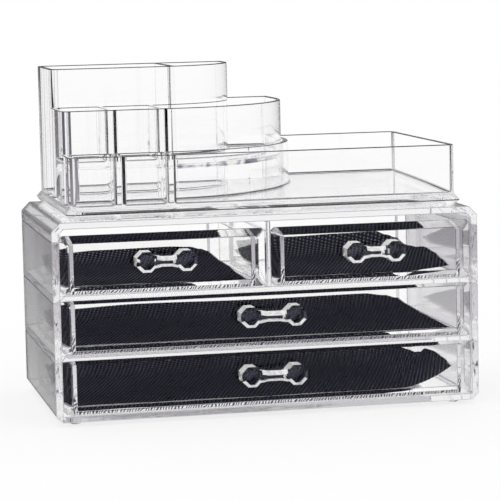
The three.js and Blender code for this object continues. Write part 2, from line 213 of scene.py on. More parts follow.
class LinerSettings(bpy.types.PropertyGroup):
    """The woven mesh mats in the drawers"""

    # The threads' crests carry painted highlights on the black mesh
    thread_highlight_colour: colour("Thread colour", "Colour of the threads' crests", 0.42, 0.42, 0.48)
    gap_colour: colour("Gap colour", "Colour between the threads", 0.001, 0.001, 0.003)
    thread_pitch: length("Thread pitch", "Distance between two of the long ribs", 2.2)
    cross_pitch: length("Cross pitch", "Distance between two of the cross threads", 2.4)
    slant: FloatProperty(
        name="Slant", description="How far the ribs turn from the drawer's depth",
        default=math.radians(20), subtype="ANGLE",
    )
    tooth: length("Tooth", "Width of the teeth along the cut edges", 1.1)
    rear_run: length("Rear run", "Depth of the part that curls up at the rear", 24)
    right_run: length("Right run", "Width of the part that curls up at the right", 30)


class StageSettings(bpy.types.PropertyGroup):
    """Floor, light and camera"""

    floor_colour: colour("Floor colour", "Colour of the floor", 1, 1, 1)
    backdrop_share: number(
        "Backdrop share", "How much of the floor shows plain white, without shadow", 0.8)
    surround: number("Surround", "Brightness of the room that outer reflections show", 0.12)
    lens: length("Lens", "Focal length of the camera", 173.69)


class OrganizerSettings(bpy.types.PropertyGroup):
    """Every setting of the organizer"""

    plastic: PointerProperty(type=PlasticSettings, name="Plastic", description="Clear plastic")
    cabinet: PointerProperty(type=CabinetSettings, name="Cabinet", description="Cabinet")
    drawers: PointerProperty(type=DrawerSettings, name="Drawers", description="Drawers")
    top: PointerProperty(type=TopSettings, name="Top", description="Lift-off top")
    liners: PointerProperty(type=LinerSettings, name="Liners", description="Mesh liners")
    stage: PointerProperty(type=StageSettings, name="Stage", description="Floor, light, camera")


# Shapes


def mesh_of(name, work):
    """A new mesh from an editable mesh, which goes."""
    mesh = bpy.data.meshes.new(name)
    work.to_mesh(mesh)
    work.free()
    return mesh


def new_piece(name, data, materials=()):
    """A scene object with its materials."""
    for material in materials:
        data.materials.append(material)
    piece = bpy.data.objects.new(name, data)
    bpy.context.scene.collection.objects.link(piece)
    return piece


def tidy_faces(work):
    """Merges doubled points and makes each flat face one face."""
    hair = 2e-6
    bmesh.ops.remove_doubles(work, verts=work.verts, dist=hair)
    bmesh.ops.dissolve_limit(
        work, angle_limit=math.radians(0.4), use_dissolve_boundaries=False,
        verts=work.verts, edges=work.edges,
    )
    bmesh.ops.dissolve_degenerate(work, dist=hair, edges=work.edges)


def shape_of(node):
    """The shape of a frame node as an editable mesh with whole faces."""
    work = bmesh.new()
    work.from_mesh(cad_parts[node].data)
    tidy_faces(work)
    return work


def taken_up(block):
    """The shape of a block as an editable mesh. The block goes."""
    work = bmesh.new()
    work.from_mesh(block.data)
    bpy.data.objects.remove(block)
    return work


def shift_side(work, axis, side, by):
    """Moves the points that lie on one side of a shape along an axis."""
    for vert in work.verts:
        if abs(vert.co[axis] - side) < NEAR:
            vert.co[axis] += by


def round_edges(work, radius, sharper_than):
    """Rounds the edges that turn more than an angle in degrees, and gives them the edge finish,
    whose grey tint is painted shade.
    """
    limit = math.radians(sharper_than)
    sharp = [e for e in work.edges if e.is_manifold and e.calc_face_angle(0) > limit]
    bmesh.ops.bevel(
        work, geom=sharp, offset=radius, offset_type="OFFSET", segments=2,
        profile=0.5, affect="EDGES", clamp_overlap=True, material=EDGE, loop_slide=True,
    )


def finished(name, work, materials, body, nodes):
    """Makes a piece from an editable mesh, smooth over its roundings and flat on its faces."""
    for face in work.faces:
        face.smooth = True
    mesh = mesh_of(name, work)
    mesh.set_sharp_from_angle(angle=math.radians(50))
    piece = new_piece(name, mesh, materials)
    weighted = piece.modifiers.new("Flat faces", "WEIGHTED_NORMAL")
    weighted.keep_sharp = True
    weighted.weight = 100
    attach(piece, body)
    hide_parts(*nodes)


def between_knots(knots, at):
    """The smooth value at a place between knots (place, value)."""
    for (start, low), (end, high) in zip(knots, knots[1:]):
        if at <= end:
            share = (at - start) / (end - start)
            return low + (high - low) * share * share * (3 - 2 * share)
    return knots[-1][1]


class Outline:
    """Points of a closed outline in plan, and which of its sides turn a small corner that gets
    painted shade.
    """

    def __init__(self):
        self.points = []
        self.small = []

    def add(self, point, small=False):
        """Adds a point, and says whether the side after it turns a small corner that gets painted
        shade.
        """
        self.points.append(Vector(point))
        self.small.append(small)

    def add_arc(self, centre, radius, first, last, steps):
        """Adds points along an arc from the first angle to the last."""
        for step in range(steps + 1):
            angle = first + (last - first) * step / steps
            self.add(centre + Vector((math.cos(angle), math.sin(angle))) * radius)


def rounded_outline(corners):
    """An outline whose corners (x, y, radius) are rounded, the large ones in finer steps."""
    settings = bpy.context.scene.organizer.top
    outline = Outline()
    count = len(corners)
    for index, (x, y, radius) in enumerate(corners):
        corner = Vector((x, y))
        if radius <= 0:
            outline.add(corner)
            continue
        back = (Vector(corners[index - 1][:2]) - corner).normalized()
        ahead = (Vector(corners[(index + 1) % count][:2]) - corner).normalized()
        half = back.angle(ahead) / 2
        start = corner + back * (radius / math.tan(half))
        end = corner + ahead * (radius / math.tan(half))
        centre = corner + (back + ahead).normalized() * (radius / math.sin(half))
        turn = math.pi - 2 * half
        sense = 1 if (start - centre).cross(end - centre) > 0 else -1
        large = radius > settings.large_radius
        steps = settings.curve_steps if large else settings.corner_steps
        parts = max(2, round(steps * turn / (math.pi / 2)))
        for step in range(parts + 1):
            turned = Matrix.Rotation(sense * turn * step / parts, 2) @ (start - centre)
            faces = Matrix.Rotation(sense * turn * (step + 0.5) / parts, 2) @ (start - centre)
            faces.normalize()
            # From the front, a corner looks dark at its right and on a strip at its left, so these
            # faces get painted shade
            seen_dark = faces.y < -0.1 and (faces.x > 0.75 or -0.8 < faces.x < -0.55)
            outline.add(centre + turned, seen_dark and not large and step < parts)
    return outline


def rectangle(x0, y0, x1, y1, radius):
    """The outline of a rectangle with rounded corners."""
    return rounded_outline([(x0, y0, radius), (x1, y0, radius), (x1, y1, radius), (x0, y1, radius)])


def ring(outline, z):
    """The points of an outline at a height."""
    return [(point.x, point.y, z) for point in outline.points]


def skin(name, rings, small=None, banded=(), band=None):
    """A closed shape through rings of equally many points, its ends flat.

    The small corners that look dark get the corner finish of painted shade, and the banded rows of
    faces the band's finish.
    """
    work = bmesh.new()
    rows = [[work.verts.new(point) for point in points] for points in rings]
    count = len(rows[0])
    for level, (low, high) in enumerate(zip(rows, rows[1:])):
        for side in range(count):
            after = (side + 1) % count
            face = work.faces.new((low[side], low[after], high[after], high[side]))
            face.material_index = CORNER if small and small[side] else BODY
            if level in banded:
                face.material_index = band
    work.faces.new(rows[0])
    work.faces.new(rows[-1])
    bmesh.ops.recalc_face_normals(work, faces=work.faces)
    return new_piece(name, mesh_of(name, work), top_plastic())


def upright(name, outline, z0, z1):
    """A straight block: an outline in plan drawn up from z0 to z1."""
    return skin(name, [ring(outline, z0), ring(outline, z1)], outline.small)


def hollow(outline_at, z0, z1, fillet, rim):
    """The space in a cup: its outline for each inset, its floor's edge and its rim rounded and
    darkened as painted shade.

    It ends a hair above the rim, so that it cuts right through.
    """
    outer = outline_at(0)
    rings = []
    steps = 4
    for step in range(steps):
        angle = math.pi / 2 * step / steps
        inset = fillet * (1 - math.sin(angle))
        rings.append(ring(outline_at(inset), z0 + fillet * (1 - math.cos(angle))))
    hair = 1e-6
    rings += [
        ring(outer, z0 + fillet), ring(outer, z1 - rim),
        ring(outline_at(-rim), z1), ring(outline_at(-rim), z1 + hair),
    ]
    floor_rows = (1, 2)
    rim_rows = (5, 6)
    return skin("hollow", rings, outer.small, floor_rows + rim_rows, EDGE)


def row_block(outline_at, z0, z1, rim):
    """A solid row: its outline for each inset, with its rim rounded and darkened as painted shade.
    """
    outer = outline_at(0)
    rings = [ring(outer, z0), ring(outer, z1 - rim), ring(outline_at(rim), z1)]
    return skin("row_block", rings, banded=(1,), band=EDGE)


def combine(first, others, operation):
    """Joins or cuts the first block with each of the others, which then go."""
    for other in others:
        step = first.modifiers.new("Step", "BOOLEAN")
        step.operation = operation
        step.solver = "EXACT"
        step.object = other
    evaluated = first.evaluated_get(bpy.context.evaluated_depsgraph_get())
    mesh = bpy.data.meshes.new_from_object(evaluated)
    first.modifiers.clear()
    first.data = mesh
    for other in others:
        bpy.data.objects.remove(other)


# Materials


def feed(tree, node, inputs):
    """Links or sets a node's inputs: each has an output to link it to, or a plain value."""
    for name, value in inputs.items():
        if isinstance(value, bpy.types.NodeSocket):
            tree.links.new(value, node.inputs[name])
        else:
            node.inputs[name].default_value = value


def add_node(tree, kind, inputs=None, **settings):
    """A new shader node with its settings, its inputs linked or set."""
    node = tree.nodes.new("ShaderNode" + kind)
    for name, value in settings.items():
        setattr(node, name, value)
    feed(tree, node, inputs or {})
    return node


def calculate(tree, operation, *values, **settings):
    """The result of a calculation on outputs or plain values."""
    inputs = dict(enumerate(values))
    return add_node(tree, "Math", inputs, operation=operation, **settings).outputs["Value"]


def map_range(tree, value, low, high, to_low=0, to_high=1):
    """A value's place from low to high as a value from to_low to to_high, kept between them."""
    inputs = {
        "Value": value, "From Min": low, "From Max": high, "To Min": to_low, "To Max": to_high,
    }
    return add_node(tree, "MapRange", inputs).outputs["Result"]


def place_on(tree, **mapping):
    """The place on the object, stretched or turned where a mapping is given."""
    place = add_node(tree, "TexCoord").outputs["Object"]
    if mapping:
        place = add_node(tree, "Mapping", {"Vector": place, **mapping}).outputs["Vector"]
    return place


def part_of(tree, vector, axis):
    """One of the three parts of a vector."""
    return add_node(tree, "SeparateXYZ", {"Vector": vector}).outputs[axis]


def noise(tree, vector, scale, detail=2, distortion=0):
    """Cloudy noise."""
    inputs = {"Vector": vector, "Scale": scale, "Detail": detail, "Distortion": distortion}
    return add_node(tree, "TexNoise", inputs).outputs["Fac"]


def waves(tree, vector, direction, pitch, distortion, detail, detail_scale=1):
    """Distorted bands at a pitch in metres, across a direction."""
    inputs = {
        "Vector": vector, "Scale": math.tau / 20 / pitch, "Distortion": distortion,
        "Detail": detail, "Detail Scale": detail_scale,
    }
    return add_node(tree, "TexWave", inputs, bands_direction=direction).outputs["Fac"]


def blend(tree, factor, first, second):
    """A colour from the first to the second, by the factor."""
    inputs = {"Factor": factor, "A": first, "B": second}
    return add_node(tree, "Mix", inputs, data_type="RGBA").outputs["Result"]


def bump(tree, height, distance, strength):
    """A normal that follows a height, at most a distance in metres deep."""
    inputs = {"Height": height, "Distance": distance, "Strength": strength}
    return add_node(tree, "Bump", inputs).outputs["Normal"]


def moulded_surface_group():
    """Very faint waviness and gloss change, as moulded plastic has."""
    found = bpy.data.node_groups.get("moulded_surface")
    if found:
        return found
    group = bpy.data.node_groups.new("moulded_surface", "ShaderNodeTree")
    for name in ("Scale", "Waviness", "Roughness"):
        group.interface.new_socket(name=name, in_out="INPUT", socket_type="NodeSocketFloat")
    for name, kind in (("Roughness", "NodeSocketFloat"), ("Normal", "NodeSocketVector")):
        group.interface.new_socket(name=name, in_out="OUTPUT", socket_type=kind)
    given = group.nodes.new("NodeGroupInput").outputs
    results = group.nodes.new("NodeGroupOutput")
    clouds = noise(group, place_on(group), given["Scale"], detail=1.5)
    rough = map_range(group, clouds, 0, 1, 0, given["Roughness"])
    normal = bump(group, clouds, 0.4 * MM, given["Waviness"])
    feed(group, results, {"Roughness": rough, "Normal": normal})
    return group


def new_material(name):
    """A new material, its node tree and its shader."""
    material = bpy.data.materials.new(name)
    material.use_nodes = True
    return material, material.node_tree, material.node_tree.nodes["Principled BSDF"]


def clear_material(name, tint, waviness, rough, scale=30, mirror=None, ior=None, finish=None):
    """Clear plastic: a plain transmission with a faint waviness and a depth tint.

    A finish is a function that adds its own nodes to a new material and links them to its shader.
    """
    found = bpy.data.materials.get(name)
    if found:
        return found
    settings = bpy.context.scene.organizer.plastic
    material, tree, shader = new_material(name)
    surface = add_node(
        tree, "Group", {"Scale": scale, "Waviness": waviness, "Roughness": rough},
        node_tree=moulded_surface_group(),
    ).outputs
    feed(tree, shader, {
        "Base Color": tint, "Transmission Weight": 1, "IOR": ior or settings.ior,
        "Specular IOR Level": settings.gloss, "Specular Tint": mirror or settings.mirror,
        "Roughness": surface["Roughness"], "Normal": surface["Normal"],
    })
    depth = add_node(tree, "VolumeAbsorption", {
        "Color": settings.depth_tint, "Density": settings.depth_density,
    })
    feed(tree, tree.nodes["Material Output"], {"Volume": depth.outputs["Volume"]})
    if finish:
        finish(tree, shader, settings)
    return material


def plastic():
    """The plastic of the cabinet, of its edges and of its outer sides, both tinted as painted
    shade, and of its front, with dark veins painted as shade.
    """
    settings = bpy.context.scene.organizer.plastic
    return [
        clear_material("polished_plastic", settings.tint, 0.02, 0.01),
        clear_material("cabinet_edge_shade", settings.edge_shade_tint, 0.5, 0.04, 420),
        clear_material("cabinet_side_shade", settings.side_shade_tint, 0.03, 0.01),
        clear_material("cabinet_front", settings.tint, 0.02, 0.01, finish=crinkled_columns),
    ]


def crinkled_columns(tree, shader, settings):
    """Crinkles along both columns of the cabinet's front, with fine dark veins painted in as shade.
    """
    starts = 114.5 * MM
    full = 115.5 * MM
    from_middle = calculate(tree, "ABSOLUTE", part_of(tree, place_on(tree), "X"))
    column = map_range(tree, from_middle, starts, full)
    drawn_out = place_on(tree, Scale=(1, 1, 0.3))
    crinkles = noise(tree, drawn_out, scale=420, detail=3, distortion=1)
    veins = calculate(tree, "MULTIPLY", column, map_range(tree, crinkles, 0.55, 0.64))
    colours = blend(tree, veins, settings.tint, settings.vein_shade_tint)
    normal = bump(tree, crinkles, 0.5 * MM, column)
    feed(tree, shader, {"Base Color": colours, "Normal": normal})


def drawer_plastic():
    """The plastic of the drawers, of their edges and of the trays' front ends, both darkened as
    painted shade, and of their sides.
    """
    settings = bpy.context.scene.organizer.plastic
    mirror = settings.drawer_mirror
    return [
        clear_material("drawer_plastic", settings.tint, 0.02, 0.01, mirror=mirror),
        clear_material("drawer_edge_shade", settings.edge_shade_tint, 0.5, 0.04, 420, mirror),
        clear_material("tray_joint_shade", settings.joint_shade_tint, 0.1, 0.04, finish=shaded_joint_end),
        clear_material("tray_side", settings.tint, 0.03, 0.01, 30, mirror, settings.side_ior),
    ]


def shaded_joint_end(tree, shader, settings):
    """Dark slanting streaks painted as shade in the lower part of a tray's front end, clearer
    above.
    """
    streaked_to = 9 * MM
    clear_from = 13 * MM
    streak_pitch = 1.5 * MM
    lifted = calculate(tree, "SUBTRACT", part_of(tree, place_on(tree), "Z"), settings.joint_base)
    height = calculate(tree, "FLOORED_MODULO", lifted, settings.joint_pitch)
    upper = map_range(tree, height, streaked_to, clear_from)
    slanting = place_on(tree, Rotation=(0, math.radians(62), 0))
    bands = waves(tree, slanting, "Z", streak_pitch, distortion=9, detail=2)
    streaks = map_range(tree, bands, 0.35, 0.6)
    clearer = calculate(tree, "MAXIMUM", upper, streaks)
    colours = blend(tree, clearer, settings.joint_shade_tint, settings.joint_light)
    feed(tree, shader, {"Base Color": colours})


def top_plastic():
    """The top's clear plastic; its rims and cup corners darkened as painted shade, its floor edge
    banded with painted shade and glints, and its outer walls with streaks of painted shade.
    """
    settings = bpy.context.scene.organizer.plastic
    tint = settings.tint
    return [
        clear_material("top_plastic", tint, 0.02, 0.01),
        clear_material("top_rim_shade", settings.rim_shade_tint, 0.3, 0.04, 300),
        clear_material("top_corner_shade", settings.corner_shade_tint, 0.02, 0.04, finish=shaded_corner),
        clear_material("top_ribbon_glints", tint, 0.1, 0.04, finish=ribbon_glints_and_shade),
        clear_material(
            "top_side", tint, 0.02, 0.01, ior=settings.side_ior, finish=shade_streaked_wall),
    ]


def shaded_corner(tree, shader, _settings):
    """The cups' inner corners, painted near black as the shade they show from most sides, with
    clearer streaks.
    """
    streaks = noise(tree, place_on(tree, Scale=(1, 1, 0.06)), scale=700)
    clear = map_range(tree, streaks, 0.35, 0.65, 0, 0.45)
    feed(tree, shader, {"Transmission Weight": clear})


def ribbon_glints_and_shade(tree, shader, _settings):
    """The bevelled edge under the middle floor: dark bands of painted shade, clear bands, and
    faintly coloured bands of painted glints.
    """
    clouds = noise(tree, place_on(tree, Scale=(1, 0.4, 0.2)), scale=55, detail=1.5)
    bands = add_node(tree, "ValToRGB", {"Fac": clouds})
    steps = bands.color_ramp.elements
    steps[0].position = 0.34
    steps[0].color = (0.02, 0.02, 0.03, 1)
    steps[1].position = 0.42
    steps[1].color = (0.95, 0.95, 0.97, 1)
    for position, colour_there in (
        (0.49, (0.1, 0.1, 0.12, 1)), (0.54, (0.9, 0.93, 1, 1)),
        (0.58, (0.9, 0.75, 0.45, 1)), (0.62, (0.2, 0.3, 0.6, 1)), (0.68, (0.03, 0.03, 0.04, 1)),
    ):
        steps.new(position).color = colour_there
    feed(tree, shader, {"Base Color": bands.outputs["Color"]})


def shade_streaked_wall(tree, shader, settings):
    """Upright dark streaks of painted shade in the top's left outer wall."""
    left = calculate(tree, "LESS_THAN", part_of(tree, place_on(tree), "X"), 0)
    clouds = noise(tree, place_on(tree, Scale=(1, 1, 0.03)), scale=130)
    streaks = calculate(tree, "MULTIPLY", left, map_range(tree, clouds, 0.5, 0.72))
    colours = blend(tree, streaks, settings.tint, settings.streak_shade_tint)
    feed(tree, shader, {"Base Color": colours})


def highlit(most):
    """A finish for a facet that catches the light: a painted highlight, partly white by the share
    given.
    """
    def finish(tree, shader, _settings):
        patches = noise(tree, place_on(tree), scale=500)
        clear = map_range(tree, patches, 0.3, 0.7, 1 - most, 1 - most * 0.6)
        feed(tree, shader, {"Transmission Weight": clear})
    return finish


def handle_plastic():
    """The plastic of the handles, of their edges with painted shade, and of their facets with
    strong and faint painted highlights.
    """
    settings = bpy.context.scene.organizer.plastic
    mirror = settings.drawer_mirror
    return [
        clear_material("handle_plastic", settings.handle_tint, 0.01, 0.01, mirror=mirror),
        clear_material("handle_edge_shade", settings.edge_shade_tint, 0.01, 0.05, mirror=mirror),
        # Facets that catch the light get painted highlights, strong and faint
        clear_material("handle_highlight_facet", WHITE, 0.01, 0.05, finish=highlit(0.95)),
        clear_material("handle_faint_highlight_facet", WHITE, 0.01, 0.05, finish=highlit(0.35)),
    ]


def backdrop(tree, surround):
    """Nodes that tell which rays see the backdrop, and how bright it is to them."""
    rays = add_node(tree, "LightPath").outputs
    glossy = rays["Is Glossy Ray"]
    through = calculate(tree, "MAXIMUM", rays["Is Camera Ray"], rays["Is Transmission Ray"])
    seen = calculate(tree, "MAXIMUM", through, glossy)
    mirrored = calculate(tree, "SUBTRACT", glossy, through, use_clamp=True)
    return seen, map_range(tree, mirrored, 0, 1, 1, surround)


def floor_material():
    """A white floor that keeps a faint shadow, dimmer where a surface mirrors it."""
    settings = bpy.context.scene.organizer.stage
    material, tree, shader = new_material("floor")
    seen, level = backdrop(tree, settings.surround)
    colours = blend(tree, level, BLACK, settings.floor_colour)
    feed(tree, shader, {"Roughness": 1, "Specular IOR Level": 0, "Base Color": colours})
    glow = add_node(tree, "Emission", {"Strength": level})
    mixed = add_node(tree, "MixShader", {
        "Fac": calculate(tree, "MULTIPLY", seen, settings.backdrop_share),
        1: shader.outputs["BSDF"],
        2: glow.outputs["Emission"],
    })
    feed(tree, tree.nodes["Material Output"], {"Surface": mixed.outputs["Shader"]})
    return material


def mesh_material():
    """Black woven mesh: two crossing sets of slanted threads, with painted highlights on their
    crests, stronger where a mat curls up.
    """
    found = bpy.data.materials.get("woven_mesh")
    if found:
        return found
    settings = bpy.context.scene.organizer.liners
    material, tree, shader = new_material("woven_mesh")
    slanted = place_on(tree, Rotation=(0, 0, settings.slant))
    bends = {"distortion": 3, "detail": 0.5, "detail_scale": 0.12}
    ribs = waves(tree, slanted, "X", settings.thread_pitch, **bends)
    across = waves(tree, slanted, "Y", settings.cross_pitch, **bends)
    crossing = calculate(tree, "MULTIPLY", ribs, map_range(tree, across, 0, 1, 0.2))
    crests = calculate(tree, "POWER", crossing, 3)
    clouds = noise(tree, place_on(tree), scale=14, detail=1)
    patches = map_range(tree, clouds, 0.38, 0.62, 0.35)
    normal = add_node(tree, "NewGeometry").outputs["Normal"]
    level = calculate(tree, "ABSOLUTE", part_of(tree, normal, "Z"))
    # Where a mat curls up and tilts, its painted highlights are stronger
    curl_highlight = map_range(tree, level, 0.995, 0.9, 0.8, 2.6)
    lit = calculate(tree, "MULTIPLY", crests, calculate(tree, "MULTIPLY", patches, curl_highlight))
    colours = blend(tree, lit, settings.gap_colour, settings.thread_highlight_colour)
    relief = bump(tree, crossing, 0.3 * MM, 0.5)
    feed(tree, shader, {"Base Color": colours, "Normal": relief, "Roughness": 0.6, "IOR": 1})
    return material


# Operators


class ORGANIZER_OT_cabinet(bpy.types.Operator):
    """Builds the three tiers and the cover of the cabinet, with a seam between each two"""

    bl_idname = "organizer.cabinet"
    bl_label = "Cabinet tiers"

    def execute(self, context):
        settings = context.scene.organizer.cabinet
        for level, node in enumerate(TIERS):
            work = shape_of(node)
            low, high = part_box(node)
            if level > 0:
                shift_side(work, 2, low.z, settings.joint_gap)
            round_edges(work, settings.edge_radius, 25)
            for face in work.faces:
                middle = face.calc_center_median()
                # The outer sides get the side finish, whose tint is painted shade
                if abs(face.normal.x) > FACING and abs(middle.x) > high.x - MM:
                    face.material_index = SIDE
                front = face.normal.y < -FACING and middle.y < low.y + MM
                if front and node != "top_cover":
                    face.material_index = FRONT
            finished(node + "_shell", work, plastic(), "cabinet", [node])
        return {"FINISHED"}


class ORGANIZER_OT_divider(bpy.types.Operator):
    """Builds the upright wall between the two small drawers"""

    bl_idname = "organizer.divider"
    bl_label = "Centre divider"

    def execute(self, context):
        settings = context.scene.organizer.cabinet
        gap = settings.joint_gap
        work = shape_of("centre_divider")
        low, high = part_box("centre_divider")
        shift_side(work, 2, low.z, gap)
        shift_side(work, 2, high.z, -gap)
        shift_side(work, 1, high.y, -gap)
        round_edges(work, settings.edge_radius, 25)
        finished("divider_wall", work, plastic(), "cabinet", ["centre_divider"])
        return {"FINISHED"}


class ORGANIZER_OT_feet(bpy.types.Operator):
    """Builds the four round feet"""

    bl_idname = "organizer.feet"
    bl_label = "Feet"

    def execute(self, context):
        gap = context.scene.organizer.cabinet.joint_gap
        sides = 32
        angles = [math.tau * turn / sides for turn in range(sides)]
        profile = (
            (0.72, 0), (0.84, 0.04), (0.94, 0.13), (0.99, 0.24), (1, 0.4), (1, 0.96), (0.97, 1),
        )
        for node in FEET:
            low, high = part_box(node)
            middle = (low + high) / 2
            radius = (high.x - low.x) / 2
            rings = [[
                (
                    middle.x + radius * share * math.cos(angle),
                    middle.y + radius * share * math.sin(angle),
                    low.z + (high.z - gap - low.z) * rise,
                ) for angle in angles
            ] for share, rise in profile]
            work = taken_up(skin(node + "_blank", rings))
            finished(node + "_button", work, plastic(), "cabinet", [node])
        return {"FINISHED"}


class ORGANIZER_OT_drawer_boxes(bpy.types.Operator):
    """Builds each drawer's bevelled front and its tray as one moulded piece"""

    bl_idname = "organizer.drawer_boxes"
    bl_label = "Drawer fronts and trays"

    def execute(self, context):
        settings = context.scene.organizer.drawers
        gap = context.scene.organizer.cabinet.joint_gap
        for name in DRAWERS:
            work = shape_of(name + "_front")
            tray = shape_of(name + "_tray")
            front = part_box(name + "_tray")[0].y
            shift_side(tray, 1, front, gap)
            mesh = mesh_of(name + "_tray_blank", tray)
            work.from_mesh(mesh)
            bpy.data.meshes.remove(mesh)
            round_edges(work, settings.edge_radius, 15)
            for face in work.faces:
                behind = face.calc_center_median().y - front
                # A tray's front end gets the joint finish of painted shade
                if face.normal.y < -FACING and abs(behind) < 2 * gap:
                    face.material_index = JOINT
                if abs(face.normal.x) > FACING and behind > 0:
                    face.material_index = TRAY_SIDE
            finished(
                name + "_box", work, drawer_plastic(), name, [name + "_front", name + "_tray"],
            )
        return {"FINISHED"}


class ORGANIZER_OT_handles(bpy.types.Operator):
    """Builds the handles: two faceted knobs joined by a waisted bar"""

    bl_idname = "organizer.handles"
    bl_label = "Handles"

    def execute(self, context):
        settings = context.scene.organizer.drawers
        gap = context.scene.organizer.cabinet.joint_gap
        for name in DRAWERS:
            node = name + "_handle"
            work = shape_of(node)
            low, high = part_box(node)
            middle = (low + high) / 2
            reach = (high.x - low.x) / 2 - settings.knob_across + NEAR
            bevelled = middle.y - 4 * MM
            shift_side(work, 1, high.y, -gap)
            for vert in work.verts:
                in_bar = abs(vert.co.x - middle.x) < reach
                if in_bar and vert.co.y < bevelled and vert.co.z > middle.z:
                    vert.co.z -= settings.bar_bevel
            round_edges(work, settings.handle_radius, 25)
            for face in work.faces:
                in_bar = abs(face.calc_center_median().x - middle.x) < reach
                self.finish_facet(face, in_bar)
            finished(node + "_pull", work, handle_plastic(), name, [node])
        return {"FINISHED"}

    def finish_facet(self, face, in_bar):
        """Gives a facet a strong or faint painted highlight where its slope would catch the light.
        """
        normal = face.normal
        steep = 0.3
        tilted = 0.35
        flat = 0.92
        side = abs(normal.y) < steep
        if in_bar:
            bright = normal.y < -steep and abs(normal.z) > tilted
        else:
            bright = (
                side and normal.z > 0.6 or normal.z < -tilted and -flat < normal.y < -steep)
        if bright:
            face.material_index = BRIGHT
        elif side and normal.x < -steep and not in_bar:
            face.material_index = DIM


class ORGANIZER_OT_liners(bpy.types.Operator):
    """Builds the black mesh mats that lie in the drawers with their edges curled up"""

    bl_idname = "organizer.liners"
    bl_label = "Mesh liners"

    def execute(self, context):
        for name, curl in LINER_CURLS.items():
            node = name + "_liner"
            low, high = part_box(node)
            mesh = self.woven_sheet(node + "_mat", low, high, curl)
            piece = new_piece(node + "_mat", mesh, [mesh_material()])
            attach(piece, name)
            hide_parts(node)
        return {"FINISHED"}

    def woven_sheet(self, name, low, high, curl):
        """A sheet whose rear edge and right end rise as the curl says."""
        settings = bpy.context.scene.organizer.liners
        lift = 0.25
        wave_depth = 1.2
        swell = 0.12
        corner_blend = 4
        spread = 0.8
        right_lean = 0.03
        rear_lean = 0.1
        columns = round((high.x - low.x) / settings.tooth)
        rows = round((high.y - low.y) / settings.tooth)
        points = []
        for row in range(rows + 1):
            along = row / rows
            for column in range(columns + 1):
                across = column / columns
                x = low.x + (high.x - low.x) * across
                y = low.y + (high.y - low.y) * along
                ripple = math.sin(across * curl["waves"] + 1.3) * (1 - along)
                y += (curl["front"] + wave_depth * ripple) * MM * (1 - along) ** 2
                rear = max(0, 1 - (high.y - y) / settings.rear_run)
                right = max(0, 1 - (high.x - x) / settings.right_run)
                back = between_knots(curl["rear"], across) * rear ** 1.8
                end = between_knots(curl["right"], along) * right ** 1.7
                rise = (back ** corner_blend + end ** corner_blend) ** (1 / corner_blend)
                wave = 1 + math.sin(across * 23 + along * 4)
                rise += swell * wave * (1 - rear) * (1 - right)
                x += (spread * across - rise * right_lean * right) * MM
                y -= rise * rear_lean * MM * rear
                if row in (0, rows):
                    y += settings.tooth * 0.4 * (1 if column % 2 else -1)
                if column in (0, columns):
                    x += settings.tooth * 0.7 * (1 if row % 2 else -1) * (1 if across else -1)
                y = min(max(y, low.y), high.y)
                x = max(x, low.x)
                points.append((x, y, low.z + (lift + rise) * MM))
        faces = []
        for row in range(rows):
            for column in range(columns):
                a = row * (columns + 1) + column
                b = a + columns + 1
                faces.append((a, a + 1, b + 1, b))
        mesh = bpy.data.meshes.new(name)
        mesh.from_pydata(points, [], faces)
        for face in mesh.polygons:
            face.use_smooth = True
        return mesh


